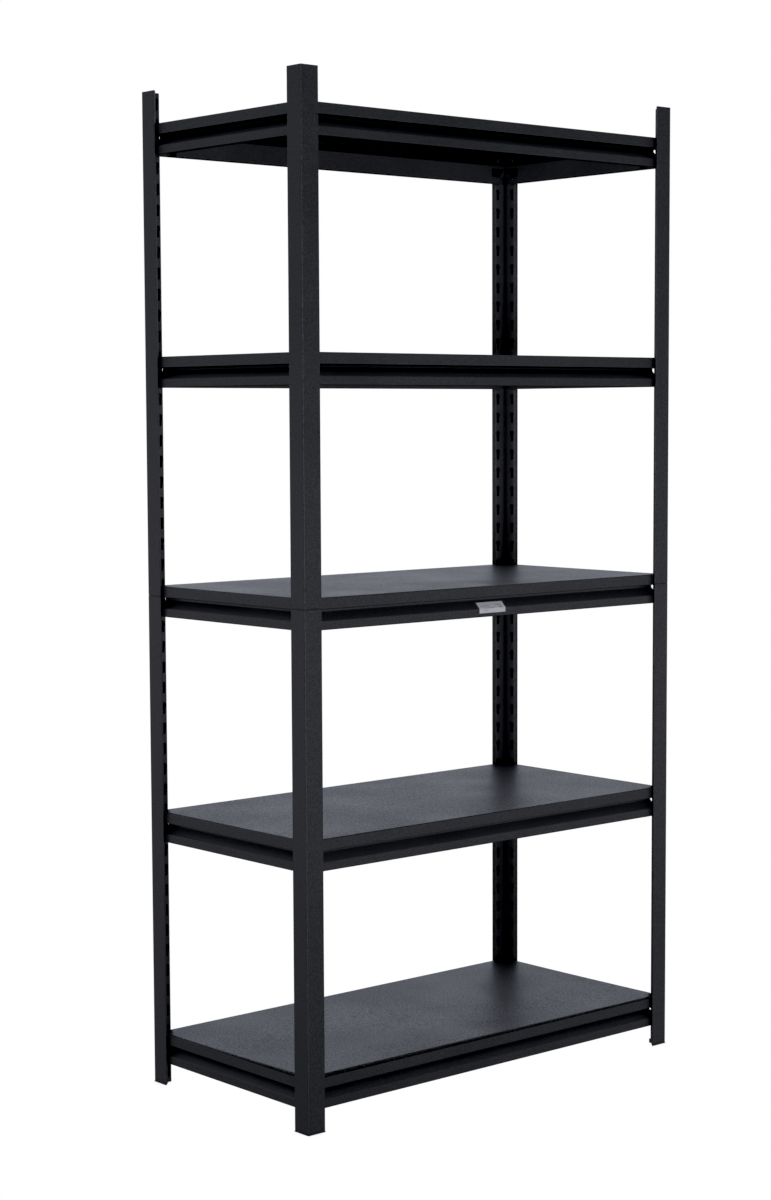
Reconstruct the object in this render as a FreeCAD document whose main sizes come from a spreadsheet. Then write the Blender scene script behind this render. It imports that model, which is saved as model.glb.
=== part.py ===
import FreeCAD, Part
import math
import os

import Sketcher

# Boltless steel shelving with four double-walled angle posts and five levels.
#
# Frame: millimetres, +Z up, +X along the front from left to right, +Y to the back.
# The origin is on the floor at the centre of the footprint.
#
# Each post is two equal halves, joined end to end by an angle insert. A level is
# four rolled beams that hook into the posts' keyholes by headed rivets, and a
# folded steel tray that drops inside the beams. Levels are counted from the floor.

DRIVING_SIZES = {
    # Whole rack. The keyhole rows step the height in whole pitches.
    "rack_width": 914.4,
    "rack_depth": 457.2,
    "keyhole_pitch": 38.1,
    "keyholes_per_half": 24,
    "level_count": 5,
    "level_step_pitches": 11,
    "lowest_level_pitches": 2,
    # Post section: outer skin, folded hem at the free edge, then the inner wall.
    "flange_width": 37.8,
    "post_sheet": 1.0,
    "inner_wall_face": 7.0,
    "inner_wall_start": 11.0,
    "inner_wall_end": 33.4,
    "hem_start": 35.7,
    "joggle_shift": 0.6,
    "corner_radius": 2.4,
    "hem_radius": 0.9,
    "joggle_radius": 1.5,
    "joggle_inner_radius": 0.5,
    # Keyholes in the inner walls.
    "keyhole_centre": 27.4,
    "first_seat": 9.4,
    "slot_radius": 3.7,
    "entry_radius": 5.8,
    "entry_rise": 12.9,
    "cavity_sketch_depth": 4.0,
    # Foot and coupler.
    "foot_base": 1.5,
    "foot_lip": 0.5,
    "foot_reach": 9.6,
    "foot_plug_height": 12.0,
    "foot_plug_reach": 20.0,
    "foot_block_height": 6.5,
    "foot_block_reach": 23.1,
    "plug_gap": 0.15,
    "coupler_half_length": 40.0,
    "coupler_reach": 19.0,
    "coupler_thickness": 1.8,
    "stop_rib": 1.0,
    "stop_rib_inset": 0.8,
    # Beam section, from the outer face inwards and from the lower edge up.
    "beam_height": 55.0,
    "beam_sheet": 0.8,
    "beam_setback": 7.3,
    "beam_end_gap": 10.0,
    "beam_end_cut": 23.7,
    "web_end_cut": 60.0,
    "web_cut_start": 3.0,
    "lip_depth": 19.4,
    "recess_depth": 15.0,
    "lower_band": 15.5,
    "bend_inner_radius": 1.2,
    "bend_outer_radius": 2.0,
    "tab_trim": 2.4,
    # Rivets.
    "rivet_below_top": 7.0,
    "rivet_shank_radius": 3.0,
    "rivet_hole_gap": 0.1,
    "rivet_head_radius": 4.5,
    "rivet_head_height": 2.5,
    "rivet_tail_radius": 4.3,
    "rivet_tail_height": 1.5,
    "rivet_dome": 0.7,
    # Shelf panel and its stiffener.
    "panel_sheet": 0.7,
    "panel_side_gap": 1.5,
    "panel_proud": 0.4,
    "seat_gap": 0.05,
    "panel_step": 2.4,
    "panel_step_run": 24.6,
    "panel_return": 12.0,
    "panel_bend_radius": 2.0,
    "stiffener_height": 13.0,
    "stiffener_width": 74.0,
    "stiffener_flange": 14.0,
    "stiffener_end_gap": 2.0,
    # Blank label on the front beam of the middle level.
    "label_length": 65.0,
    "label_left_of_centre": 41.7,
    "label_thickness": 0.2,
    "label_gap": 0.03,
    "label_on_band": 8.5,
    "label_on_slant": 10.5,
}

LABEL_LEVEL = 3

# An offset line meets its neighbour at this share of the offset in a 45 degree bend.
MITRE_45 = math.tan(math.radians(22.5))
DIAGONAL = math.sqrt(0.5)

ORIGIN_AXIS_X = -1
ORIGIN_AXIS_Y = -2

doc = FreeCAD.newDocument("boltless_shelving")


def fill_sheet():
    """Put every driving size in the spreadsheet, one named row each."""
    sheet = doc.addObject("Spreadsheet::Sheet", "Sizes")
    for row, (alias, value) in enumerate(DRIVING_SIZES.items(), start=1):
        sheet.set(f"A{row}", alias)
        sheet.set(f"B{row}", str(value))
        sheet.setAlias(f"B{row}", alias)
    doc.recompute()


class Size:
    """A length that keeps its number together with the sheet expression behind it."""

    def __init__(self, value, text):
        self.value = value
        self.text = text

    def combined(self, sign, other):
        other = as_size(other)
        value = {
            "+": self.value + other.value,
            "-": self.value - other.value,
            "*": self.value * other.value,
        }[sign]
        return Size(value, f"({self.text} {sign} {other.text})")

    def __add__(self, other):
        return self.combined("+", other)

    def __sub__(self, other):
        return self.combined("-", other)

    def __mul__(self, other):
        return self.combined("*", other)

    def __neg__(self):
        return self.combined("*", -1)


def as_size(length):
    """A plain number as a Size; a Size comes back unchanged."""
    if isinstance(length, Size):
        return length
    return Size(length, f"({length})")


def size(alias):
    """The Size of one named row of the sheet."""
    return Size(DRIVING_SIZES[alias], f"Sizes.{alias}")


ZERO = as_size(0)

flange = size("flange_width")
post_sheet = size("post_sheet")
wall_face = size("inner_wall_face")
pitch = size("keyhole_pitch")
seat = size("first_seat")
foot_base = size("foot_base")
foot_lip = size("foot_lip")
stop_rib = size("stop_rib")
half_length = pitch * size("keyholes_per_half") - stop_rib
half_width = size("rack_width") * 0.5
half_depth = size("rack_depth") * 0.5

beam_height = size("beam_height")
beam_sheet = size("beam_sheet")
setback = size("beam_setback")
end_gap = size("beam_end_gap")
long_beam = size("rack_width") - end_gap * 2
short_beam = size("rack_depth") - end_gap * 2
rivet_height = beam_height - size("rivet_below_top")

panel_edge = setback + beam_sheet + size("panel_side_gap")
panel_length = size("rack_width") - panel_edge * 2
panel_depth = size("rack_depth") - panel_edge * 2
panel_sheet = size("panel_sheet")
panel_seat = beam_height - size("lip_depth") + beam_sheet + size("seat_gap")
panel_height = beam_height + size("panel_proud") - panel_seat


def level_bottom(level):
    """Height of the beams' lower edges on a level, counted from 1 at the floor."""
    pitches = size("lowest_level_pitches") + size("level_step_pitches") * (level - 1)
    top_seat = foot_base + seat + pitch * pitches
    return top_seat - rivet_height


# Sketch and feature helpers


def drive(feature, **sizes):
    """Bind a feature's length properties to the sheet."""
    for name, length in sizes.items():
        setattr(feature, name, length.value)
        feature.setExpression(name, length.text)


def new_body(label):
    body = doc.addObject("PartDesign::Body", label)
    body.Label = label
    return body


def new_sketch(body, name, role, offset=None):
    """A sketch on one of the body's origin planes, moved along the plane's normal."""
    sketch = body.newObject("Sketcher::SketchObject", f"{body.Name}_{name}")
    plane = next(item for item in body.Origin.OriginFeatures if item.Role == role)
    sketch.AttachmentSupport = (plane, "")
    sketch.MapMode = "FlatFace"
    if offset is not None:
        sketch.AttachmentOffset = FreeCAD.Placement(
            FreeCAD.Vector(0, 0, offset.value), FreeCAD.Rotation()
        )
        sketch.setExpression("AttachmentOffset.Base.z", offset.text)
    return sketch


def tie(sketch, geometry, vertex, x, y):
    """Hold one sketch point at x and y from the sketch origin, driven by the sheet."""
    for kind, distance, axis in (("DistanceX", x, ORIGIN_AXIS_Y), ("DistanceY", y, ORIGIN_AXIS_X)):
        if distance.value == 0:
            sketch.addConstraint(Sketcher.Constraint("PointOnObject", geometry, vertex, axis))
            continue
        number = sketch.addConstraint(
            Sketcher.Constraint(kind, -1, 1, geometry, vertex, distance.value)
        )
        sketch.setExpression(f"Constraints[{number}]", distance.text)


def add_polygon(sketch, points):
    """A closed loop of straight lines whose corners are all driven by the sheet."""
    first = sketch.GeometryCount
    count = len(points)
    corners = [FreeCAD.Vector(x.value, y.value, 0) for x, y in points]
    for index in range(count):
        line = Part.LineSegment(corners[index], corners[(index + 1) % count])
        sketch.addGeometry(line)
    for index in range(count):
        following = first + (index + 1) % count
        sketch.addConstraint(Sketcher.Constraint("Coincident", first + index, 2, following, 1))
    for index, (x, y) in enumerate(points):
        tie(sketch, first + index, 1, x, y)


def add_circle(sketch, x, y, radius):
    centre = FreeCAD.Vector(x.value, y.value, 0)
    number = sketch.addGeometry(Part.Circle(centre, FreeCAD.Vector(0, 0, 1), radius.value))
    tie(sketch, number, 3, x, y)
    constraint = sketch.addConstraint(Sketcher.Constraint("Radius", number, radius.value))
    sketch.setExpression(f"Constraints[{constraint}]", radius.text)


def rectangle(x0, y0, x1, y1):
    return [(x0, y0), (x1, y0), (x1, y1), (x0, y1)]


def angle_outline(near, far, reach):
    """An L with its legs along both axes, from near to far deep and reach long."""
    return [(near, near), (reach, near), (reach, far), (far, far), (far, reach), (near, reach)]


def pad(body, sketch, length):
    feature = body.newObject("PartDesign::Pad", f"{sketch.Name}_pad")
    feature.Profile = sketch
    drive(feature, Length=length)
    return feature


def pocket(body, sketch, length, along_normal):
    """Cut a sketch's outline out, along the sketch normal or against it."""
    doc.recompute()
    before = body.Tip.Shape.Volume
    feature = body.newObject("PartDesign::Pocket", f"{sketch.Name}_cut")
    feature.Profile = sketch
    feature.Reversed = along_normal
    drive(feature, Length=length)
    doc.recompute()
    if feature.Shape.Volume >= before:
        raise RuntimeError(f"{feature.Name} removed nothing")
    return feature


def straight_edges(feature, direction, passes):
    """Names of the edges along a direction whose middle satisfies the test."""
    names = []
    for number, edge in enumerate(feature.Shape.Edges, start=1):
        if edge.Curve.TypeId != "Part::GeomLine":
            continue
        if abs(edge.Curve.Direction.dot(direction)) < 0.999:
            continue
        middle = (edge.Vertexes[0].Point + edge.Vertexes[-1].Point) * 0.5
        if passes(middle):
            names.append(f"Edge{number}")
    return names


def round_bends(body, radius, direction, corners):
    """Round the long edges that stand on the given corners of a section.

    The corners are pairs of the two coordinates across the direction, in axis order.
    """
    doc.recompute()
    base = body.Tip
    spots = [(first.value, second.value) for first, second in corners]

    def on_corner(point):
        across = [point[axis] for axis in range(3) if abs(direction[axis]) < 0.5]
        return any(math.dist(across, spot) < 0.01 for spot in spots)

    names = straight_edges(base, direction, on_corner)
    if len(names) < len(spots):
        raise RuntimeError(f"{body.Name}: {len(names)} edges for {len(spots)} bends")
    feature = body.newObject("PartDesign::Fillet", f"{body.Name}_bends")
    feature.Base = (base, names)
    drive(feature, Radius=radius)
    return feature


def place(body, x, y, z, quarter_turns=0):
    """Put a body at sheet-driven coordinates, turned about Z in quarter turns."""
    turn = FreeCAD.Rotation(FreeCAD.Vector(0, 0, 1), 90 * quarter_turns)
    body.Placement = FreeCAD.Placement(FreeCAD.Vector(x.value, y.value, z.value), turn)
    for axis, length in (("x", x), ("y", y), ("z", z)):
        body.setExpression(f"Placement.Base.{axis}", length.text)


UP = FreeCAD.Vector(0, 0, 1)
ALONG = FreeCAD.Vector(1, 0, 0)

# Corners of the footprint: signs of x and y, and the quarter turns that bring the
# section's legs from +X and +Y to the sides of that corner.
CORNERS = {
    "front_left": (-1, -1, 0),
    "front_right": (1, -1, 1),
    "back_right": (1, 1, 2),
    "back_left": (-1, 1, 3),
}


def place_in_corner(body, corner, z, outset=ZERO):
    """Put a body's own origin on a footprint corner, moved diagonally out by outset."""
    sign_x, sign_y, quarter_turns = CORNERS[corner]
    x = (half_width + outset) * sign_x
    y = (half_depth + outset) * sign_y
    place(body, x, y, z, quarter_turns)


# Posts


def post_outline():
    """Section of a folded post, with its outer corner on the origin."""
    hem = post_sheet * 2
    shift = size("joggle_shift")
    wall_back = wall_face - post_sheet
    leg = [
        (flange, ZERO),
        (flange, hem),
        (size("hem_start"), hem),
        (size("inner_wall_end"), wall_face),
        (size("inner_wall_start"), wall_face),
        (size("inner_wall_start"), wall_back),
        (size("inner_wall_end") - shift, wall_back),
        (size("hem_start") - shift, post_sheet),
    ]
    mirrored = [(y, x) for x, y in reversed(leg)]
    return [(ZERO, ZERO)] + leg + [(post_sheet, post_sheet)] + mirrored


def both_legs(corners):
    """Section corners on one leg together with their mirror images on the other."""
    return corners + [(y, x) for x, y in corners]


def add_keyhole(sketch):
    """A round entry with a narrower slot below it, ending in a half-round seat."""
    centre_x = size("keyhole_centre")
    narrow = size("slot_radius")
    wide = size("entry_radius")
    entry_height = seat + size("entry_rise")
    meet = math.acos(narrow.value / wide.value)
    meet_height = entry_height.value - wide.value * math.sin(meet)
    left = centre_x.value - narrow.value
    right = centre_x.value + narrow.value
    entry_centre = FreeCAD.Vector(centre_x.value, entry_height.value, 0)
    seat_centre = FreeCAD.Vector(centre_x.value, seat.value, 0)
    entry_circle = Part.Circle(entry_centre, UP, wide.value)
    seat_circle = Part.Circle(seat_centre, UP, narrow.value)
    entry = sketch.addGeometry(Part.ArcOfCircle(entry_circle, -meet, math.pi + meet))
    side_left = sketch.addGeometry(
        Part.LineSegment(
            FreeCAD.Vector(left, meet_height, 0), FreeCAD.Vector(left, seat.value, 0)
        )
    )
    bottom = sketch.addGeometry(Part.ArcOfCircle(seat_circle, math.pi, 2 * math.pi))
    side_right = sketch.addGeometry(
        Part.LineSegment(
            FreeCAD.Vector(right, seat.value, 0), FreeCAD.Vector(right, meet_height, 0)
        )
    )
    loop = (entry, side_left, bottom, side_right)
    for index, first in enumerate(loop):
        second = loop[(index + 1) % len(loop)]
        sketch.addConstraint(Sketcher.Constraint("Coincident", first, 2, second, 1))
    for line, seat_end in ((side_left, 2), (side_right, 1)):
        sketch.addConstraint(Sketcher.Constraint("Vertical", line))
        sketch.addConstraint(Sketcher.Constraint("Horizontal", bottom, 3, line, seat_end))
    tie(sketch, entry, 3, centre_x, entry_height)
    tie(sketch, bottom, 3, centre_x, seat)
    for arc, radius in ((entry, wide), (bottom, narrow)):
        constraint = sketch.addConstraint(Sketcher.Constraint("Radius", arc, radius.value))
        sketch.setExpression(f"Constraints[{constraint}]", radius.text)


def cut_keyhole_rows(body):
    """Cut one keyhole through each inner wall, from the cavity, and repeat them up."""
    depth = size("cavity_sketch_depth")
    cuts = []
    # The normal of the XZ plane points to -Y, so the plane moves and cuts backwards.
    for role, offset, along_normal in (("XZ_Plane", -depth, False), ("YZ_Plane", depth, True)):
        sketch = new_sketch(body, f"keyhole_{role[:2].lower()}", role, offset)
        add_keyhole(sketch)
        cuts.append(pocket(body, sketch, depth, along_normal))
    rows = body.newObject("PartDesign::LinearPattern", f"{body.Name}_keyhole_rows")
    rows.Originals = cuts
    rows.Direction = (cuts[0].Profile[0], ["V_Axis"])
    rows.Occurrences = int(DRIVING_SIZES["keyholes_per_half"])
    rows.setExpression("Occurrences", "Sizes.keyholes_per_half")
    drive(rows, Length=pitch * (size("keyholes_per_half") - 1))
    body.Tip = rows


def build_post_half(label, corner, z):
    body = new_body(label)
    sketch = new_sketch(body, "section", "XY_Plane")
    add_polygon(sketch, post_outline())
    pad(body, sketch, half_length)
    hem = post_sheet * 2
    shift = size("joggle_shift")
    wall_back = wall_face - post_sheet
    round_bends(body, size("corner_radius"), UP, [(ZERO, ZERO)])
    inner_corner = size("corner_radius") - post_sheet
    round_bends(body, inner_corner, UP, [(post_sheet, post_sheet)])
    round_bends(body, size("hem_radius"), UP, both_legs([(flange, ZERO), (flange, hem)]))
    round_bends(
        body, size("joggle_radius"), UP, both_legs([(size("inner_wall_end"), wall_face)])
    )
    tight = [(size("hem_start"), hem), (size("inner_wall_end") - shift, wall_back)]
    round_bends(body, size("joggle_inner_radius"), UP, both_legs(tight))
    cut_keyhole_rows(body)
    place_in_corner(body, corner, z)
    return body


def build_foot(label, corner):
    """A thin base with mitred ends, a plug in the post's cavity and a low block in its fold."""
    body = new_body(label)
    base = new_sketch(body, "base", "XY_Plane")
    width = foot_lip + size("foot_reach")
    reach = flange + foot_lip * 2
    mitred = [
        (ZERO, ZERO),
        (reach, ZERO),
        (reach - width, width),
        (width, width),
        (width, reach - width),
        (ZERO, reach),
    ]
    add_polygon(base, mitred)
    pad(body, base, foot_base)

    plug_near = foot_lip + post_sheet + size("plug_gap")
    plug_far = foot_lip + wall_face - post_sheet - size("plug_gap")
    plug = new_sketch(body, "plug", "XY_Plane")
    add_polygon(plug, angle_outline(plug_near, plug_far, size("foot_plug_reach")))
    pad(body, plug, foot_base + size("foot_plug_height"))
    plug_corner = size("corner_radius") + foot_lip - plug_near
    round_bends(body, plug_corner, UP, [(plug_near, plug_near)])

    block_near = foot_lip + wall_face + size("plug_gap")
    block_far = size("foot_block_reach")
    block = new_sketch(body, "block", "XY_Plane")
    add_polygon(block, rectangle(block_near, block_near, block_far, block_far))
    pad(body, block, foot_base + size("foot_block_height"))
    round_bends(body, size("corner_radius"), UP, [(ZERO, ZERO)])
    place_in_corner(body, corner, ZERO, foot_lip)
    return body


def build_coupler(label, corner):
    """An angle insert across the seam, with a rib that the two halves stop against."""
    body = new_body(label)
    near = post_sheet + size("plug_gap")
    half = size("coupler_half_length")
    insert = new_sketch(body, "insert", "XY_Plane")
    far = near + size("coupler_thickness")
    add_polygon(insert, angle_outline(near, far, size("coupler_reach")))
    pad(body, insert, half * 2 + stop_rib)
    round_bends(body, size("corner_radius") - near, UP, [(near, near)])

    inset = size("stop_rib_inset")
    rib = new_sketch(body, "rib", "XY_Plane", half)
    rib_far = wall_face - post_sheet - inset
    add_polygon(rib, angle_outline(inset, rib_far, flange - inset))
    pad(body, rib, stop_rib)
    round_bends(body, size("corner_radius"), UP, [(inset, inset)])
    place_in_corner(body, corner, foot_base + half_length - half)
    return body


# Beams and rivets


def beam_outline():
    """Outside of a beam's section: inwards from the outer face, up from the lower edge."""
    recess = size("recess_depth")
    band = size("lower_band")
    ledge = beam_height - size("lip_depth")
    web_back = recess + beam_sheet
    return [
        (ZERO, beam_height),
        (ZERO, ledge),
        (recess, ledge),
        (recess, band + recess),
        (ZERO, band),
        (ZERO, ZERO),
        (web_back, ZERO),
        (web_back, ledge + beam_sheet),
        (beam_sheet, ledge + beam_sheet),
        (beam_sheet, beam_height),
    ]


def under_slant(depth):
    """Height of the slant's inner side at a depth from the beam's outer face."""
    return size("lower_band") + depth - beam_sheet * (1 + MITRE_45)


def beam_hollow():
    """The closed space between a beam's lower band, its slant, its web and its bottom."""
    recess = size("recess_depth")
    return [
        (beam_sheet, beam_sheet),
        (recess, beam_sheet),
        (recess, under_slant(recess)),
        (beam_sheet, under_slant(beam_sheet)),
    ]


def build_beam(label, length):
    """A rolled beam along X with its outer face on y = 0 and its lower edge on z = 0."""
    body = new_body(label)
    outline = beam_outline()
    hollow = beam_hollow()
    section = new_sketch(body, "section", "YZ_Plane")
    add_polygon(section, outline)
    add_polygon(section, hollow)
    pad(body, section, length)
    inside_bends = [outline[2], outline[3], outline[8], hollow[0], hollow[1], hollow[3]]
    outside_bends = [outline[1], outline[4], outline[5], outline[6], outline[7]]
    round_bends(body, size("bend_inner_radius"), ALONG, inside_bends)
    round_bends(body, size("bend_outer_radius"), ALONG, outside_bends)

    # Near both ends the web and the bottom are cut away, to reach the lower rivets.
    behind = size("recess_depth") + beam_sheet * 2
    web_cut = size("web_end_cut") - end_gap
    start_depth = size("web_cut_start")
    around_web = [
        (start_depth, ZERO),
        (behind, ZERO),
        (behind, under_slant(behind)),
        (start_depth, under_slant(start_depth)),
    ]
    for name, offset in (("web_start", ZERO), ("web_stop", length - web_cut)):
        web_end = new_sketch(body, name, "YZ_Plane", offset)
        add_polygon(web_end, around_web)
        pocket(body, web_end, web_cut, True)

    # At the very ends only two flat tabs are left, one above and one below.
    cut = size("beam_end_cut") - end_gap
    trim = size("tab_trim")
    window_low = size("lower_band") - trim * MITRE_45
    window_high = beam_height - size("lip_depth") + trim
    back = new_sketch(body, "back", "XY_Plane")
    window = new_sketch(body, "window", "XZ_Plane")
    holes = new_sketch(body, "holes", "XZ_Plane")
    hole_radius = size("rivet_shank_radius") + size("rivet_hole_gap")
    rivet_from_end = size("keyhole_centre") - end_gap
    for start, stop, hole in (
        (ZERO, cut, rivet_from_end),
        (length - cut, length, length - rivet_from_end),
    ):
        add_polygon(back, rectangle(start, beam_sheet, stop, behind))
        add_polygon(window, rectangle(start, window_low, stop, window_high))
        add_polygon(window, rectangle(start, ZERO, stop, trim))
        for height in (rivet_height, rivet_height - pitch):
            add_circle(holes, hole, height, hole_radius)
    pocket(body, back, beam_height, True)
    pocket(body, window, behind, False)
    pocket(body, holes, beam_sheet * 2, False)
    return body


def place_beam(body, side, level):
    """Hang a beam on one side of the rack, its ends clear of the post corners."""
    z = level_bottom(level)
    face_x = half_width - setback
    face_y = half_depth - setback
    end_x = half_width - end_gap
    end_y = half_depth - end_gap
    spots = {
        "front": (-end_x, -face_y, 0),
        "right": (face_x, -end_y, 1),
        "back": (end_x, face_y, 2),
        "left": (-face_x, end_y, 3),
    }
    x, y, quarter_turns = spots[side]
    place(body, x, y, z, quarter_turns)


def rivet_outline():
    """Half section of a rivet on its axis: depth from the post's outer face, radius."""
    tab_back = setback + beam_sheet
    gap = size("rivet_hole_gap")
    head_back = wall_face - post_sheet - gap
    head_front = head_back - size("rivet_head_height")
    tail_front = tab_back + gap
    tail_back = tail_front + size("rivet_tail_height")
    dome = size("rivet_dome")
    shank = size("rivet_shank_radius")
    head = size("rivet_head_radius")
    tail = size("rivet_tail_radius")
    return [
        (head_front, ZERO),
        (head_front, head - dome),
        (head_front + dome, head),
        (head_back, head),
        (head_back, shank),
        (tail_front, shank),
        (tail_front, tail),
        (tail_back - dome, tail),
        (tail_back, tail - dome),
        (tail_back, ZERO),
    ]


def build_rivets(label, level):
    """All rivets of one level: one in each direction, repeated down and mirrored."""
    body = new_body(label)
    in_from_corner = size("keyhole_centre")
    # One rivet through the front wall and one through the left wall of one corner.
    for name, plane_offset, swap in (
        ("front", half_width - in_from_corner, False),
        ("left", half_depth - in_from_corner, True),
    ):
        role = "XZ_Plane" if swap else "YZ_Plane"
        offset = plane_offset if swap else -plane_offset
        sketch = new_sketch(body, name, role, offset)
        face = half_width if swap else half_depth
        points = [(depth - face, radius + pitch) for depth, radius in rivet_outline()]
        add_polygon(sketch, points)
        axis = sketch.addGeometry(
            Part.LineSegment(
                FreeCAD.Vector(points[0][0].value, pitch.value, 0),
                FreeCAD.Vector(points[-1][0].value, pitch.value, 0),
            ),
            True,
        )
        tie(sketch, axis, 1, points[0][0], pitch)
        tie(sketch, axis, 2, points[-1][0], pitch)
        turned = body.newObject("PartDesign::Revolution", f"{sketch.Name}_turned")
        turned.Profile = sketch
        turned.ReferenceAxis = (sketch, ["Axis0"])
        turned.Angle = 360
    doc.recompute()

    pair = body.newObject("PartDesign::LinearPattern", f"{body.Name}_pair")
    pair.TransformMode = "Whole shape"
    pair.Direction = (sketch, ["V_Axis"])
    pair.Reversed = True
    pair.Occurrences = 2
    drive(pair, Length=pitch)
    body.Tip = pair
    doc.recompute()
    for role in ("YZ_Plane", "XZ_Plane"):
        plane = next(item for item in body.Origin.OriginFeatures if item.Role == role)
        mirrored = body.newObject("PartDesign::Mirrored", f"{body.Name}_{role[:2].lower()}")
        mirrored.TransformMode = "Whole shape"
        mirrored.MirrorPlane = (plane, [""])
        body.Tip = mirrored
        doc.recompute()
    place(body, ZERO, ZERO, level_bottom(level) + rivet_height - pitch)
    return body


# Shelf panels


def panel_outline(inset):
    """Plan of a panel, stepped in at the corners to clear the rivets, and inset."""
    step = size("panel_step") + inset
    run = size("panel_step_run") + inset
    far_x = panel_length
    far_y = panel_depth
    return [
        (run, inset),
        (far_x - run, inset),
        (far_x - run, step),
        (far_x - step, step),
        (far_x - step, run),
        (far_x - inset, run),
        (far_x - inset, far_y - run),
        (far_x - step, far_y - run),
        (far_x - step, far_y - step),
        (far_x - run, far_y - step),
        (far_x - run, far_y - inset),
        (run, far_y - inset),
        (run, far_y - step),
        (step, far_y - step),
        (step, far_y - run),
        (inset, far_y - run),
        (inset, run),
        (step, run),
        (step, step),
        (run, step),
    ]


def build_panel(label, level):
    """A tray folded from one sheet: deck, skirts and a return at the skirts' feet."""
    body = new_body(label)
    plan = new_sketch(body, "plan", "XY_Plane")
    add_polygon(plan, panel_outline(ZERO))
    pad(body, plan, panel_height)
    doc.recompute()

    deck = panel_height.value
    radius = size("panel_bend_radius")
    base = body.Tip
    long_sides = straight_edges(
        base,
        ALONG,
        lambda middle: min(middle.y, panel_depth.value - middle.y) < 0.01
        and min(middle.z, deck - middle.z) < 0.01,
    )
    short_sides = straight_edges(
        base,
        FreeCAD.Vector(0, 1, 0),
        lambda middle: min(middle.x, panel_length.value - middle.x) < 0.01
        and min(middle.z, deck - middle.z) < 0.01,
    )
    bends = body.newObject("PartDesign::Fillet", f"{body.Name}_bends")
    bends.Base = (base, long_sides + short_sides)
    drive(bends, Radius=radius)

    ret = size("panel_return")
    opening = new_sketch(body, "opening", "XY_Plane")
    add_polygon(opening, rectangle(ret, ret, panel_length - ret, panel_depth - ret))
    pocket(body, opening, panel_height - panel_sheet, True)
    hollow = new_sketch(body, "hollow", "XY_Plane", panel_sheet)
    add_polygon(hollow, panel_outline(panel_sheet))
    pocket(body, hollow, panel_height - panel_sheet * 2, True)
    z = level_bottom(level) + panel_seat
    place(body, panel_edge - half_width, panel_edge - half_depth, z)
    return body


def build_stiffener(label, level):
    """A hat section that runs the length of the panel under its centre line."""
    body = new_body(label)
    wide = size("stiffener_width")
    rim = size("stiffener_flange")
    high = size("stiffener_height")
    sheet = panel_sheet
    outline = [
        (ZERO, high - sheet),
        (rim, high - sheet),
        (rim, ZERO),
        (wide - rim, ZERO),
        (wide - rim, high - sheet),
        (wide, high - sheet),
        (wide, high),
        (wide - rim - sheet, high),
        (wide - rim - sheet, sheet),
        (rim + sheet, sheet),
        (rim + sheet, high),
        (ZERO, high),
    ]
    section = new_sketch(body, "section", "YZ_Plane")
    add_polygon(section, outline)
    inset = size("panel_return") + size("stiffener_end_gap")
    pad(body, section, panel_length - inset * 2)
    outside = [outline[2], outline[3], outline[7], outline[10]]
    round_bends(body, size("panel_bend_radius"), ALONG, outside)
    under_deck = level_bottom(level) + panel_seat + panel_height - panel_sheet
    z = under_deck - size("seat_gap") - high
    place(body, panel_edge + inset - half_width, wide * -0.5, z)
    return body


def build_label(label):
    """A blank label that wraps from the beam's slant on to its lower band."""
    body = new_body(label)
    thick = size("label_thickness")
    gap = size("label_gap")
    bend = size("label_on_band")
    run = size("label_on_slant")
    across = thick * DIAGONAL
    outline = [
        (ZERO, ZERO),
        (thick, ZERO),
        (thick, bend - thick * MITRE_45),
        (run + across, bend + run - across),
        (run, bend + run),
        (ZERO, bend),
    ]
    section = new_sketch(body, "section", "YZ_Plane")
    add_polygon(section, outline)
    pad(body, section, size("label_length"))
    round_bends(body, size("bend_outer_radius"), ALONG, [outline[2]])
    round_bends(body, size("bend_outer_radius") + thick, ALONG, [outline[5]])
    y = setback - half_depth - gap - thick
    inner_bend = level_bottom(LABEL_LEVEL) + size("lower_band") + gap * MITRE_45
    z = inner_bend - bend + thick * MITRE_45
    place(body, -size("label_left_of_centre"), y, z)
    return body


def build_rack():
    """Build every piece and return the bodies in the order of assembly."""
    pieces = []
    upper_start = foot_base + half_length + stop_rib
    for corner in CORNERS:
        pieces.append(build_foot(f"{corner}_foot", corner))
        pieces.append(build_post_half(f"{corner}_post_lower", corner, foot_base))
        pieces.append(build_coupler(f"{corner}_coupler", corner))
        pieces.append(build_post_half(f"{corner}_post_upper", corner, upper_start))
    for level in range(1, DRIVING_SIZES["level_count"] + 1):
        for side, length in (
            ("front", long_beam),
            ("back", long_beam),
            ("left", short_beam),
            ("right", short_beam),
        ):
            beam = build_beam(f"level_{level}_{side}_beam", length)
            place_beam(beam, side, level)
            pieces.append(beam)
        pieces.append(build_rivets(f"level_{level}_rivets", level))
        pieces.append(build_panel(f"level_{level}_panel", level))
        pieces.append(build_stiffener(f"level_{level}_stiffener", level))
    pieces.append(build_label(f"level_{LABEL_LEVEL}_label"))
    return pieces


def check_document():
    """Stop if any object of the document failed to rebuild."""
    for item in doc.Objects:
        if "Invalid" in item.State or "Error" in item.State:
            raise RuntimeError(f"{item.Name} is {item.State}")


def write_pieces(pieces):
    """Check each piece's solids and write it to its own STEP file."""
    for piece in pieces:
        if piece.Shape.isNull() or not piece.Shape.isValid():
            raise RuntimeError(f"{piece.Label} has no valid shape")
    os.makedirs("parts", exist_ok=True)
    for piece in pieces:
        piece.Shape.exportStep(f"parts/{piece.Label}.step")


fill_sheet()
rack = build_rack()
doc.recompute()
check_document()
write_pieces(rack)
print(f"{len(rack)} pieces written")
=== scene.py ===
"""Looks for the boltless steel shelving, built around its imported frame. Lengths are in metres."""

import math

import bmesh
import bpy
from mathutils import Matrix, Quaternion, Vector


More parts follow.
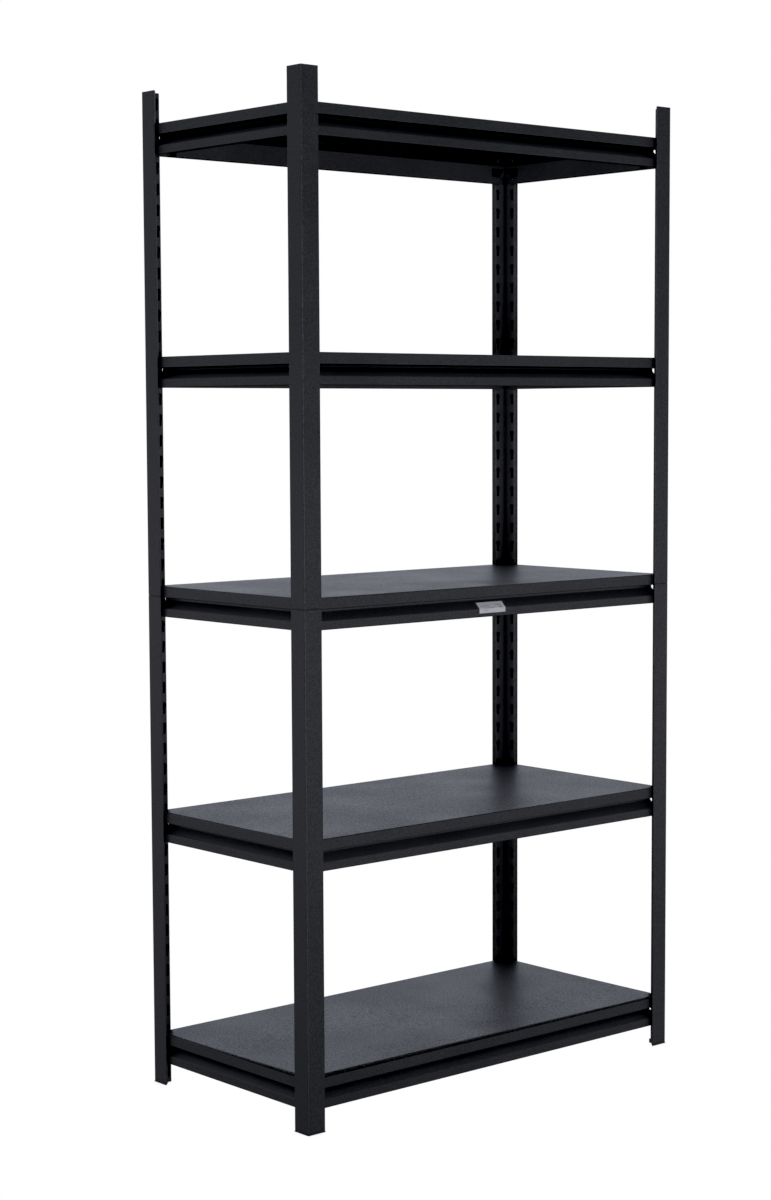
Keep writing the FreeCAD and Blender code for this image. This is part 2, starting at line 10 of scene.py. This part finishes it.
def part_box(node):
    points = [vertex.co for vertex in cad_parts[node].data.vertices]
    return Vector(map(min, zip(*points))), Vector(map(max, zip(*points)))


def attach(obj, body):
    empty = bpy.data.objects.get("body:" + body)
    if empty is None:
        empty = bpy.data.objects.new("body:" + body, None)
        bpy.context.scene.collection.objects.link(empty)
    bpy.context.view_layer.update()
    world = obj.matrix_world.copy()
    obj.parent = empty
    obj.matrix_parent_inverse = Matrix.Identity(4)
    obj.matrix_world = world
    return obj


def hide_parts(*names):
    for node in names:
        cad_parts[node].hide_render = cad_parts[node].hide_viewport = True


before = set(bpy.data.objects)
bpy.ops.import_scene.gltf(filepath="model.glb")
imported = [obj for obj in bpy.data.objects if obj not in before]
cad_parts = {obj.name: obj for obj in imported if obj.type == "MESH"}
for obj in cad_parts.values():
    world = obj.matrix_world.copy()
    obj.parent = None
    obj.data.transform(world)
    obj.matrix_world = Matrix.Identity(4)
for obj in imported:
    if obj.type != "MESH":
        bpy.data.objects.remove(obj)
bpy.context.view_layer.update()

MM = 0.001
LEVELS = (1, 2, 3, 4, 5)


# Material graphs


class Graph:
    """Short-hand for building the node graph of one material or world."""

    def __init__(self, owner):
        owner.use_nodes = True
        self.tree = owner.node_tree
        self.tree.nodes.clear()

    def add(self, kind, settings=None, **inputs):
        """A shader node; an input's name is given with underscores for its spaces."""
        made = self.tree.nodes.new("ShaderNode" + kind)
        for name, value in (settings or {}).items():
            setattr(made, name, value)
        for name, value in inputs.items():
            self.feed(made.inputs[name.replace("_", " ")], value)
        return made

    def feed(self, socket, value):
        if isinstance(value, bpy.types.NodeSocket):
            self.tree.links.new(value, socket)
        else:
            socket.default_value = value

    def math(self, operation, first, second=0.0, clamp=False):
        made = self.add("Math", {"operation": operation, "use_clamp": clamp})
        self.feed(made.inputs[0], first)
        self.feed(made.inputs[1], second)
        return made.outputs[0]

    def blend(self, share, first, second):
        """The colour first where share is 0 and second where share is 1."""
        made = self.add("Mix", {"data_type": "RGBA"})
        self.feed(made.inputs["Factor"], share)
        self.feed(made.inputs["A"], first)
        self.feed(made.inputs["B"], second)
        return made.outputs["Result"]

    def mix(self, share, first, second):
        """The number first where share is 0 and second where share is 1."""
        made = self.add("Mix", {"data_type": "FLOAT"})
        self.feed(made.inputs["Factor"], share)
        self.feed(made.inputs["A"], first)
        self.feed(made.inputs["B"], second)
        return made.outputs["Result"]

    def remap(self, value, low, high, to_low=0.0, to_high=1.0):
        """value from low..high to to_low..to_high, smooth at both ends."""
        made = self.add("MapRange", {"interpolation_type": "SMOOTHSTEP"}, Value=value)
        for name, number in (
            ("From Min", low), ("From Max", high), ("To Min", to_low), ("To Max", to_high)
        ):
            made.inputs[name].default_value = number
        return made.outputs["Result"]

    def share(self, value, low, high):
        """How far value is from low to high, from 0 to 1 in a straight line."""
        made = self.add("MapRange", Value=value)
        made.inputs["From Min"].default_value = low
        made.inputs["From Max"].default_value = high
        return made.outputs["Result"]

    def noise(self, place, size, detail=2.0, roughness=0.5):
        """Noise from 0 to 1 whose blotches are about size metres across."""
        made = self.add("TexNoise", Vector=place, Scale=1 / size, Detail=detail, Roughness=roughness)
        return made.outputs["Fac"]

    def grains(self, place, size):
        """Distance to the nearest grain of a crust of grains about size metres apart."""
        made = self.add("TexVoronoi", Vector=place, Scale=1 / size)
        return made.outputs["Distance"]


def grey(value, warm=0.0):
    """A grey with a slight warm or, when negative, blue cast."""
    return (value * (1 + warm), value, value * (1 - warm), 1.0)


def worn_edges(graph, radius):
    """1 on sharp outer and inner bends within radius, 0 on flats."""
    rounded = graph.add("Bevel", {"samples": 4}, Radius=radius).outputs["Normal"]
    true_normal = graph.add("NewGeometry").outputs["Normal"]
    same = graph.add("VectorMath", {"operation": "DOT_PRODUCT"})
    graph.feed(same.inputs[0], rounded)
    graph.feed(same.inputs[1], true_normal)
    return graph.remap(same.outputs["Value"], 0.985, 0.88)


def facing_out(graph, place):
    """1 on faces that look away from the rack's middle, 0 on all others."""
    level = graph.add("VectorMath", {"operation": "MULTIPLY"})
    graph.feed(level.inputs[0], place)
    graph.feed(level.inputs[1], (1, 1, 0))
    outward = graph.add("VectorMath", {"operation": "DOT_PRODUCT"})
    graph.feed(outward.inputs[0], level.outputs["Vector"])
    graph.feed(outward.inputs[1], graph.add("NewGeometry").outputs["True Normal"])
    return graph.math("GREATER_THAN", outward.outputs["Value"], 0.02)


def cavity(graph, place, reach, deepest, dark, clear):
    """Painted shade in hollows: dark where less than the deepest share of the sky is open within
    reach, up to 1.

    Only faces that look away from the rack's middle count; inner faces stay at 1.
    """
    shelter = graph.add("AmbientOcclusion", {"samples": 8}, Distance=reach)
    shade = graph.remap(shelter.outputs["AO"], deepest, clear, dark, 1.0)
    return graph.mix(facing_out(graph, place), 1.0, shade)


def underside(graph, dark, steep, level):
    """Painted shade: dark on faces that look down; steep and level are the heights of the normal
    between.
    """
    normal = graph.add("SeparateXYZ", Vector=graph.add("NewGeometry").outputs["True Normal"])
    return graph.remap(normal.outputs["Z"], steep, level, dark, 1.0)


def powder_coat(
    name,
    tone,
    rough,
    shelter,
    grain=1.1 * MM,
    speckle=0.28,
    wear=0.5,
    below=1.0,
    turned=(-0.8, -0.3),
    marks=None,
    painted_highlight=None,
    shaded=None,
):
    """Charcoal powder coat: a crust of fine grains, faint mottling, rubbed bends, painted shade
    and a painted highlight.

    shelter holds the reach and limits of cavity(), the painted shade in hollows, or is None.
    below is the share of the tone that is left on undersides as painted shade, and turned
    says how steep those are. marks, shaded and the function for the corners give, from 0 to 1,
    where pale scuffs are, the share of the tone that is left with painted shade, and where the
    painted highlight on the corners is.
    """
    material = bpy.data.materials.new(name)
    graph = Graph(material)
    place = graph.add("TexCoord").outputs["Object"]

    crust = graph.grains(place, grain)
    fine = graph.noise(place, grain * 0.6, detail=3.0, roughness=0.6)
    mottle = graph.noise(place, 5 * MM, detail=3.0, roughness=0.65)
    cloud = graph.noise(place, 140 * MM, detail=3.0)
    height = graph.math("ADD", crust, graph.math("MULTIPLY", fine, 0.8))

    pebble = graph.noise(place, grain * 1.8, detail=2.0, roughness=0.7)
    speck = graph.remap(crust, 0.05, 0.75, 0.80, 1.20)
    pit = graph.remap(pebble, 0.30, 0.70, 1 - speckle, 1 + speckle)
    patch = graph.remap(mottle, 0.3, 0.7, 0.93, 1.07)
    drift = graph.remap(cloud, 0.3, 0.7, 0.92, 1.08)
    shade = graph.math("MULTIPLY", graph.math("MULTIPLY", speck, patch), drift)
    shade = graph.math("MULTIPLY", shade, pit)
    base = graph.add("Mix", {"data_type": "RGBA", "blend_type": "MULTIPLY"})
    graph.feed(base.inputs["Factor"], 1.0)
    graph.feed(base.inputs["A"], tone)
    graph.feed(base.inputs["B"], shade)
    colour = base.outputs["Result"]

    edge = graph.math("MULTIPLY", worn_edges(graph, 1.2 * MM), wear)
    edge = graph.math("MULTIPLY", edge, graph.remap(mottle, 0.35, 0.75))
    colour = graph.blend(edge, colour, grey(0.11, -0.03))
    roughness = graph.remap(mottle, 0.25, 0.75, rough - 0.05, rough + 0.05)
    roughness = graph.math("ADD", roughness, graph.remap(cloud, 0.3, 0.7, -0.03, 0.03))
    if marks is not None:
        scuffed = marks(graph, place)
        colour = graph.blend(scuffed, colour, grey(0.42, -0.02))
        roughness = graph.math("ADD", roughness, graph.math("MULTIPLY", scuffed, 0.2))

    bump = graph.add("Bump", Height=height, Strength=0.25, Distance=0.12 * MM)
    wave = graph.add("Bump", Height=mottle, Strength=0.15, Distance=0.10 * MM)
    graph.feed(wave.inputs["Normal"], bump.outputs["Normal"])
    # Painted highlight: a thin bright bluish line along the posts' outer corners, where light
    # catches the bend.
    if painted_highlight is not None:
        colour = graph.blend(painted_highlight(graph, place), colour, grey(0.08, -0.15))
    # Painted shade: undersides, hollows and the shaded function darken both the colour and the gloss
    # below.
    painted_shade = underside(graph, below, *turned)
    if shelter is not None:
        painted_shade = graph.math("MULTIPLY", painted_shade, cavity(graph, place, *shelter))
    if shaded is not None:
        painted_shade = graph.math("MULTIPLY", painted_shade, shaded(graph, place))
    gloss = graph.math("MULTIPLY", graph.math("MULTIPLY", painted_shade, 0.5), shade)
    lit = graph.add("VectorMath", {"operation": "SCALE"}, Scale=painted_shade)
    graph.feed(lit.inputs[0], colour)
    shader = graph.add(
        "BsdfPrincipled",
        Base_Color=lit.outputs["Vector"],
        Roughness=roughness,
        Specular_IOR_Level=gloss,
        Normal=wave.outputs["Normal"],
    )
    graph.add("OutputMaterial", Surface=shader.outputs["BSDF"])
    return material


def moulded_plastic(name, tone, dusty=0.35):
    """Black injection-moulded plastic with a fine spark-eroded grain and dusty edges."""
    material = bpy.data.materials.new(name)
    graph = Graph(material)
    place = graph.add("TexCoord").outputs["Object"]
    grain = graph.noise(place, 0.5 * MM, detail=4.0, roughness=0.7)
    smear = graph.noise(place, 12 * MM, detail=2.0)
    shade = graph.remap(smear, 0.3, 0.7, 0.85, 1.2)
    colour = graph.add("Mix", {"data_type": "RGBA", "blend_type": "MULTIPLY"})
    graph.feed(colour.inputs["Factor"], 1.0)
    graph.feed(colour.inputs["A"], tone)
    graph.feed(colour.inputs["B"], shade)
    bump = graph.add("Bump", Height=grain, Strength=0.4, Distance=0.05 * MM)
    dust = graph.math("MULTIPLY", worn_edges(graph, 0.8 * MM), dusty)
    shader = graph.add(
        "BsdfPrincipled",
        Base_Color=graph.blend(dust, colour.outputs["Result"], grey(0.09)),
        Roughness=graph.remap(grain, 0.3, 0.7, 0.42, 0.58),
        Normal=bump.outputs["Normal"],
    )
    graph.add("OutputMaterial", Surface=shader.outputs["BSDF"])
    return material


def blank_label(name, low, high):
    """White sticker stock with a few plain grey bars where a print would be, painted paler where it
    faces up.
    """
    material = bpy.data.materials.new(name)
    graph = Graph(material)
    place = graph.add("TexCoord").outputs["Object"]
    apart = graph.add("SeparateXYZ", Vector=place)
    across = graph.share(apart.outputs["X"], low.x, high.x)
    upward = graph.share(apart.outputs["Z"], low.z, high.z)

    def inside(value, start, stop):
        above = graph.math("GREATER_THAN", value, start)
        return graph.math("MULTIPLY", above, graph.math("LESS_THAN", value, stop))

    printed = None
    for start, stop, bottom, top in (
        (0.10, 0.44, 0.64, 0.70),
        (0.66, 0.88, 0.70, 0.78),
        (0.20, 0.58, 0.44, 0.50),
        (0.78, 0.88, 0.44, 0.62),
        (0.16, 0.34, 0.24, 0.30),
    ):
        bar = graph.math("MULTIPLY", inside(across, start, stop), inside(upward, bottom, top))
        printed = bar if printed is None else graph.math("MAXIMUM", printed, bar)
    grainy = graph.remap(graph.noise(place, 0.8 * MM, detail=3.0), 0.3, 0.7, 0.35, 0.6)
    ink = graph.math("MULTIPLY", printed, grainy)
    stock = graph.noise(place, 4 * MM, detail=4.0)
    paper = graph.blend(graph.remap(stock, 0.3, 0.7), grey(0.70, -0.02), grey(0.80, -0.01))
    # Painted light: where the label faces up, on the beam's slant, it is painted paler than below.
    tilt = graph.add("SeparateXYZ", Vector=graph.add("NewGeometry").outputs["True Normal"])
    paper = graph.blend(graph.remap(tilt.outputs["Z"], 0.2, 0.6), paper, grey(0.95, -0.01))
    shader = graph.add(
        "BsdfPrincipled",
        Base_Color=graph.blend(ink, paper, grey(0.22, -0.04)),
        Roughness=graph.remap(stock, 0.3, 0.7, 0.35, 0.5),
        Normal=graph.add("Bump", Height=stock, Strength=0.2, Distance=0.05 * MM).outputs["Normal"],
    )
    graph.add("OutputMaterial", Surface=shader.outputs["BSDF"])
    return material


def deck_scuffs(half_x, half_y, amount):
    """Pale rubs close to a deck's border, and a few specks further in."""

    def marks(graph, place):
        apart = graph.add("SeparateXYZ", Vector=place)
        from_side = graph.math("SUBTRACT", half_x, graph.math("ABSOLUTE", apart.outputs["X"]))
        from_front = graph.math("SUBTRACT", half_y, graph.math("ABSOLUTE", apart.outputs["Y"]))
        near = graph.remap(graph.math("MINIMUM", from_side, from_front), 0.0, 26 * MM, 1.0, 0.0)
        corner = graph.remap(graph.math("ADD", from_side, from_front), 20 * MM, 200 * MM, 1.0, 0.25)
        streak = graph.noise(place, 5 * MM, detail=5.0, roughness=0.7)
        rubbed = graph.remap(streak, 0.59, 0.65)
        rubbed = graph.math("MULTIPLY", rubbed, graph.math("MULTIPLY", near, corner))
        speck = graph.noise(place, 9 * MM, detail=4.0, roughness=0.6)
        far = graph.math("MULTIPLY", graph.remap(speck, 0.69, 0.73), 0.55)
        both = graph.math("MAXIMUM", rubbed, far)
        return graph.math("MULTIPLY", both, amount, clamp=True)

    return marks


def corner_highlight(half_x, half_y):
    """Painted highlight: a thin, broken bright line along the upright corners, where light catches
    the bend, clear at the top and gone at the foot.
    """

    def painted_highlight(graph, place):
        apart = graph.add("SeparateXYZ", Vector=place)
        from_side = graph.math("SUBTRACT", half_x, graph.math("ABSOLUTE", apart.outputs["X"]))
        from_front = graph.math("SUBTRACT", half_y, graph.math("ABSOLUTE", apart.outputs["Y"]))
        line = graph.remap(graph.math("ADD", from_side, from_front), 1.3 * MM, 1.9 * MM, 1.0, 0.0)
        broken = graph.remap(graph.noise(place, 5 * MM, detail=4.0, roughness=0.7), 0.42, 0.60)
        glint = graph.math("MULTIPLY", line, broken)
        return graph.math("MULTIPLY", glint, graph.remap(apart.outputs["Z"], 0.3, 1.6))

    return painted_highlight


def post_painted_shade(joint):
    """Painted shade and light on a post: a dark seam at the joint, painted as the shadow of the cut
    edges, and inner faces painted darker near the floor and lighter high up.

    On inner faces the fold's corner and the keyholes' depth are dark with painted shade.
    """

    def shaded(graph, place):
        height = graph.add("SeparateXYZ", Vector=place).outputs["Z"]
        off = graph.math("ABSOLUTE", graph.math("SUBTRACT", height, joint))
        # Painted shadow of the cut edges along the joint.
        seam = graph.remap(off, 0.6 * MM, 1.3 * MM, 0.25, 1.0)
        # Painted shade in the fold's corner and the keyholes, on inner faces.
        shelter = graph.add("AmbientOcclusion", {"samples": 8}, Distance=12 * MM)
        corner = graph.remap(shelter.outputs["AO"], 0.55, 0.85, 0.1, 1.0)
        # Inner faces painted darker near the floor and lighter than their tone high up.
        fade = graph.math("MULTIPLY", corner, graph.remap(height, 0.05, 1.2, 0.60, 1.55))
        return graph.math("MULTIPLY", seam, graph.mix(facing_out(graph, place), fade, 1.0))

    return shaded


def beam_painted_shade(graph, place):
    """Painted shade in a beam's recess: half dark near the floor, almost black at and above eye
    height.
    """
    height = graph.add("SeparateXYZ", Vector=place).outputs["Z"]
    shelter = graph.add("AmbientOcclusion", {"samples": 8}, Distance=20 * MM)
    low = graph.remap(height, 0.1, 0.45, 0.5, 1.0)
    high = graph.remap(height, 0.95, 1.3, 1.0, 0.1)
    return graph.mix(
        graph.remap(shelter.outputs["AO"], 0.5, 0.8), graph.math("MULTIPLY", low, high), 1.0
    )


def dress(object_, material):
    object_.data.materials.clear()
    object_.data.materials.append(material)


# Shelf panels, rebuilt as thin folded sheets that are slightly out of flat


SHEET = 0.7 * MM
BEND = 2.0 * MM
BEND_STEPS = 4


def fold_profile(drop, back):
    """(past the edge, down) along the skirt, from the deck's flat to the return's end."""
    profile = []
    quarter = math.pi / 2
    for step in range(1, BEND_STEPS + 1):
        turn = quarter * step / BEND_STEPS
        profile.append((BEND * math.sin(turn), BEND * (1 - math.cos(turn))))
    for share in (0.5, 1.0):
        profile.append((BEND, BEND + (drop - 2 * BEND) * share))
    for step in range(1, BEND_STEPS + 1):
        turn = quarter * step / BEND_STEPS
        profile.append((BEND * math.cos(turn), drop - BEND + BEND * math.sin(turn)))
    profile.append((BEND - back, drop))
    return profile


def stations(length, notch, run, cells):
    """Marks along one side of the deck's flat, with one at each notch edge."""
    inner = [run + (length - 2 * run) * index / cells for index in range(cells + 1)]
    return [0.0, notch] + inner + [length - notch, length]


def panel_mesh(name, low, high, shape):
    """A folded tray between two corners; shape gives the deck's height off flat."""
    notch = 1.2 * MM
    run = 22 * MM
    flat_x = high.x - low.x - 2 * BEND
    flat_y = high.y - low.y - 2 * BEND
    profile = fold_profile(high.z - low.z, 12 * MM)

    def line(length, start, cells):
        """Each mark as (coordinate, drop, place in the fold or None on the deck)."""
        marks = [(start + BEND - out, down, True) for out, down in reversed(profile)]
        marks += [(start + BEND + at, 0.0, False) for at in stations(length, notch, run, cells)]
        marks += [(start + BEND + length + out, down, True) for out, down in profile]
        return marks

    across = line(flat_x, low.x, 72)
    along = line(flat_y, low.y, 36)
    fold = len(profile)
    mesh = bmesh.new()
    grid = {}
    for i, (x, drop_x, folded_x) in enumerate(across):
        for j, (y, drop_y, folded_y) in enumerate(along):
            if folded_x and folded_y:
                continue
            z = high.z - drop_x - drop_y + shape(x, y)
            grid[i, j] = mesh.verts.new((x, y, z))

    def in_corner(index, count):
        """0 on the far part, 1 on the deck beside a notch, 2 in the notch or the fold."""
        nearest = min(index, count - 2 - index)
        if nearest <= fold:
            return 2
        return 1 if nearest == fold + 1 else 0

    for i in range(len(across) - 1):
        for j in range(len(along) - 1):
            if in_corner(i, len(across)) + in_corner(j, len(along)) >= 3:
                continue
            corners = [(i, j), (i + 1, j), (i + 1, j + 1), (i, j + 1)]
            if all(corner in grid for corner in corners):
                mesh.faces.new([grid[corner] for corner in corners])
    loose = [vertex for vertex in mesh.verts if not vertex.link_faces]
    bmesh.ops.delete(mesh, geom=loose, context="VERTS")
    bmesh.ops.recalc_face_normals(mesh, faces=mesh.faces)
    data = bpy.data.meshes.new(name)
    mesh.to_mesh(data)
    mesh.free()
    if data.polygons[len(data.polygons) // 2].normal.z < 0:
        data.flip_normals()
    return data


def bulge(x, y, centre_x, centre_y, wide, deep, height):
    """A smooth rise or dent of the given height and reach."""
    return height * math.exp(-(((x - centre_x) / wide) ** 2) - ((y - centre_y) / deep) ** 2)


# Each wave: centre across and along, half-width, half-depth, and height in millimetres.
DECK_WAVES = {
    1: (
        (-0.20, 0.02, 0.17, 0.11, 0.9),
        (0.16, -0.05, 0.19, 0.12, -0.8),
        (0.04, -0.17, 0.06, 0.03, -1.1),
    ),
    2: (
        (-0.16, 0.04, 0.16, 0.10, -0.8),
        (0.03, -0.07, 0.10, 0.05, 1.0),
        (0.24, 0.05, 0.14, 0.11, 0.7),
    ),
    3: (
        (-0.12, -0.02, 0.20, 0.11, 0.8),
        (0.20, 0.06, 0.16, 0.10, -0.7),
        (0.10, -0.18, 0.09, 0.03, -0.8),
    ),
    4: (
        (-0.18, 0.03, 0.18, 0.11, 0.8),
        (0.17, -0.04, 0.18, 0.11, -0.8),
    ),
    5: (
        (-0.15, -0.03, 0.18, 0.12, -0.8),
        (0.19, 0.04, 0.17, 0.11, 0.8),
    ),
}


def deck_shape(level, half_x, half_y):
    """How far a level's deck stands off flat: gentle oil-canning and handling dents."""
    waves = DECK_WAVES[level]

    def shape(x, y):
        edge = max(0.0, (1 - (x / half_x) ** 2) * (1 - (y / half_y) ** 2))
        hold = min(1.0, edge * 6)
        rise = sum(bulge(x, y, *wave[:4], wave[4] * MM) for wave in waves) * hold
        if level == 1:
            left = (half_x - x) / (2 * half_x)
            front = (half_y - y) / (2 * half_y)
            rise += (2.2 + 3.6 * left) * front**2 * MM
        return rise

    return shape


def build_panel(level, material):
    node = f"level_{level}_panel"
    low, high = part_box(node)
    shape = deck_shape(level, high.x, high.y)
    sheet = bpy.data.objects.new(f"{node}_sheet", panel_mesh(node, low, high, shape))
    bpy.context.scene.collection.objects.link(sheet)
    thick = sheet.modifiers.new("gauge", "SOLIDIFY")
    thick.thickness = SHEET
    thick.offset = -1
    for polygon in sheet.data.polygons:
        polygon.use_smooth = True
    sheet.data.set_sharp_from_angle(angle=math.radians(40))
    dress(sheet, material)
    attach(sheet, f"level_{level}_deck")
    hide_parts(node)
    return sheet


# Stage


VIEW_YAW = math.radians(40.95)
VIEW_PITCH = math.radians(5.0)
VIEW_ROLL = math.radians(0.27)
AHEAD = (math.sin(VIEW_YAW), math.cos(VIEW_YAW), 0)

FLOOR_TINT = (0.96, 0.97, 1.05, 1.0)
# Painted contact shadow: the floor darkens to this share right beside a foot, within this reach.
CONTACT_SHADE = 0.72
CONTACT_REACH = 30 * MM
# Light thrown upwards by the floor: near the rack or far off, before or behind it.
FLOOR_NEAR_FRONT = 0.20
FLOOR_NEAR_REAR = 0.31
FLOOR_FAR_FRONT = 0.52
FLOOR_FAR_REAR = 0.02

# The backdrop's light by the sine of the height angle; the room in front is almost dark.
WALL_LIGHT = ((0.0, 0.35), (0.15, 1.05), (0.35, 0.72), (0.75, 0.22))
WALL_TINTS = ((0.0, (1.0, 0.99, 1.00)), (0.12, (0.96, 0.97, 1.04)), (0.30, (0.88, 0.96, 1.16)))
ROOM_LIGHT = 0.02
LAMP_TINT = (0.98, 0.95, 1.07)


def build_floor():
    """A pale floor, white to the camera but for a painted contact shadow by the feet, that throws a
    soft light upwards.
    """
    mesh = bpy.data.meshes.new("floor")
    reach = 30.0
    corners = [(-reach, -reach, 0), (reach, -reach, 0), (reach, reach, 0), (-reach, reach, 0)]
    mesh.from_pydata(corners, [], [(0, 1, 2, 3)])
    floor = bpy.data.objects.new("floor", mesh)
    bpy.context.scene.collection.objects.link(floor)
    material = bpy.data.materials.new("studio_floor")
    graph = Graph(material)
    place = graph.add("TexCoord").outputs["Object"]
    # Painted contact shadow: the white the camera sees dims where the feet hem the floor in.
    painted_shade = graph.add("AmbientOcclusion", {"samples": 8}, Distance=CONTACT_REACH)
    white = graph.remap(painted_shade.outputs["AO"], 0.1, 0.8, CONTACT_SHADE, 1.0)
    shown = graph.add("Emission", Color=grey(1.0), Strength=white)

    away = graph.add("VectorMath", {"operation": "LENGTH"})
    graph.feed(away.inputs[0], place)
    depth = graph.add("VectorMath", {"operation": "DOT_PRODUCT"})
    graph.feed(depth.inputs[0], place)
    graph.feed(depth.inputs[1], AHEAD)
    rear = graph.remap(depth.outputs["Value"], -0.4, 0.4)
    afar = graph.remap(away.outputs["Value"], 1.0, 2.5)
    close_by = graph.mix(rear, FLOOR_NEAR_FRONT, FLOOR_NEAR_REAR)
    far_off = graph.mix(rear, FLOOR_FAR_FRONT, FLOOR_FAR_REAR)
    bounce = graph.add("Emission", Color=FLOOR_TINT, Strength=graph.mix(afar, close_by, far_off))
    merge = graph.add("MixShader", Fac=graph.add("LightPath").outputs["Is Camera Ray"])
    graph.feed(merge.inputs[1], bounce.outputs["Emission"])
    graph.feed(merge.inputs[2], shown.outputs["Emission"])
    graph.add("OutputMaterial", Surface=merge.outputs["Shader"])
    dress(floor, material)


def ramp(graph, value, stops):
    """A colour that runs in straight lines through (position, (red, green, blue)) stops."""
    made = graph.add("ValToRGB", Fac=value)
    line = made.color_ramp
    while len(line.elements) < len(stops):
        line.elements.new(0.5)
    for element, (position, colour) in zip(line.elements, stops):
        element.position = position
        element.color = (*colour, 1.0)
    return made.outputs["Color"]


def build_world():
    """A pale backdrop behind the rack, an almost dark room in front, white to the camera."""
    world = bpy.data.worlds.new("studio")
    bpy.context.scene.world = world
    graph = Graph(world)
    direction = graph.add("TexCoord").outputs["Generated"]
    up = graph.add("SeparateXYZ", Vector=direction).outputs["Z"]
    ahead = graph.add("VectorMath", {"operation": "DOT_PRODUCT"})
    graph.feed(ahead.inputs[0], direction)
    graph.feed(ahead.inputs[1], AHEAD)
    wall = ramp(graph, up, [(place, (light, light, light)) for place, light in WALL_LIGHT])
    behind = graph.remap(ahead.outputs["Value"], -0.1, 0.5)
    light = graph.mix(behind, ROOM_LIGHT, wall)
    seen = graph.add("LightPath").outputs["Is Camera Ray"]
    tint = graph.blend(seen, ramp(graph, up, WALL_TINTS), grey(1.0))
    back = graph.add("Background", Color=tint, Strength=graph.mix(seen, light, 1.0))
    graph.add("OutputWorld", Surface=back.outputs["Background"])


def build_lights():
    """Soft boxes low beside the camera, at the front and right, and behind the left side."""
    for name, place, aim, side, watts in (
        ("camera_box", (-2.4, -3.6, 0.4), (0.0, 0.0, 0.7), 1.2, 55),
        ("front_box", (1.1, -2.6, 0.7), (0.0, -0.2, 0.7), 1.2, 3),
        ("right_box", (2.6, -2.0, 0.4), (0.3, -0.2, 0.6), 1.2, 5),
        ("rear_box", (-2.2, 2.4, 0.6), (-0.4, 0.2, 0.7), 1.2, 4),
    ):
        lamp = bpy.data.lights.new(name, "AREA")
        lamp.shape = "SQUARE"
        lamp.size = side
        lamp.energy = watts
        lamp.color = LAMP_TINT
        holder = bpy.data.objects.new(name, lamp)
        holder.location = place
        holder.rotation_mode = "QUATERNION"
        holder.rotation_quaternion = (Vector(aim) - Vector(place)).to_track_quat("-Z", "Y")
        bpy.context.scene.collection.objects.link(holder)


def build_camera():
    """Eye height just above the middle shelf, to the left of the front."""
    lens = bpy.data.cameras.new("camera")
    lens.sensor_width = 36
    lens.lens = 70.847
    lens.shift_x = 0.00452
    lens.shift_y = 0.01647
    lens.clip_end = 100
    camera = bpy.data.objects.new("camera", lens)
    camera.location = (-2.9818, -3.3335, 1.2482)
    level = Vector((math.sin(VIEW_YAW), math.cos(VIEW_YAW), 0)) * math.cos(VIEW_PITCH)
    forward = level - Vector((0, 0, math.sin(VIEW_PITCH)))
    camera.rotation_mode = "QUATERNION"
    camera.rotation_quaternion = forward.to_track_quat("-Z", "Y") @ Quaternion((0, 0, 1), -VIEW_ROLL)
    bpy.context.scene.collection.objects.link(camera)
    bpy.context.scene.camera = camera


def dress_rack():
    """Give every piece its finish and swap the five panels for folded sheets."""
    corner_low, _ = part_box("front_left_post_lower")
    # Painted highlight along the posts' outer corners.
    painted_highlight = corner_highlight(-corner_low.x, -corner_low.y)
    # Reach and limits of the painted shade in hollows, for posts, rivets, stiffener and panels.
    angle = (16 * MM, 0.25, 0.25, 0.85)
    joint = (corner_low.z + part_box("front_left_post_upper")[1].z) / 2
    # Painted shade and light for the posts: their joint, inner faces and the corners there.
    shade = post_painted_shade(joint)
    posts = powder_coat("post_coat", grey(0.021, -0.10), 0.50, angle, painted_highlight=painted_highlight, shaded=shade)
    # Beams: painted shade on their undersides, through below, and in their recess.
    beams = powder_coat(
        "beam_coat", grey(0.020, -0.10), 0.50, None, below=0.1, shaded=beam_painted_shade
    )
    rivets = powder_coat("rivet_coat", grey(0.020, -0.05), 0.42, angle, grain=0.8 * MM, wear=0.8)
    # The stiffener's tone is darker than the other steel: painted shade, as it hangs in the shadow
    # beneath a deck; its undersides are darker still.
    under = powder_coat("stiffener_coat", grey(0.008, -0.06), 0.55, angle, below=0.2)
    black = moulded_plastic("foot_plastic", grey(0.012))
    dark = moulded_plastic("coupler_plastic", grey(0.003), dusty=0.0)
    endings = (
        ("_post_lower", posts),
        ("_post_upper", posts),
        ("_beam", beams),
        ("_rivets", rivets),
        ("_stiffener", under),
        ("_foot", black),
        ("_coupler", dark),
    )
    for name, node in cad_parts.items():
        for ending, material in endings:
            if name.endswith(ending):
                dress(node, material)
    label = "level_3_label"
    dress(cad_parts[label], blank_label("label_stock", *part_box(label)))
    low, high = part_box("level_1_panel")
    for level in LEVELS:
        amount = 0.9 if level == 1 else 0.35
        marks = deck_scuffs(high.x, high.y, amount)
        # The decks' skirts and undersides get painted shade, through turned and below.
        coat = powder_coat(
            f"panel_coat_{level}",
            grey(0.022, -0.10),
            0.42,
            angle,
            grain=1.6 * MM,
            speckle=0.9,
            below=0.2,
            turned=(0.3, 0.9),
            marks=marks,
        )
        build_panel(level, coat)


dress_rack()
build_floor()
build_world()
build_lights()
build_camera()
look = bpy.context.scene.view_settings
look.view_transform = "Standard"
look.use_curve_mapping = True
look.curve_mapping.black_level = (0.004, 0.004, 0.004)
look.curve_mapping.update()
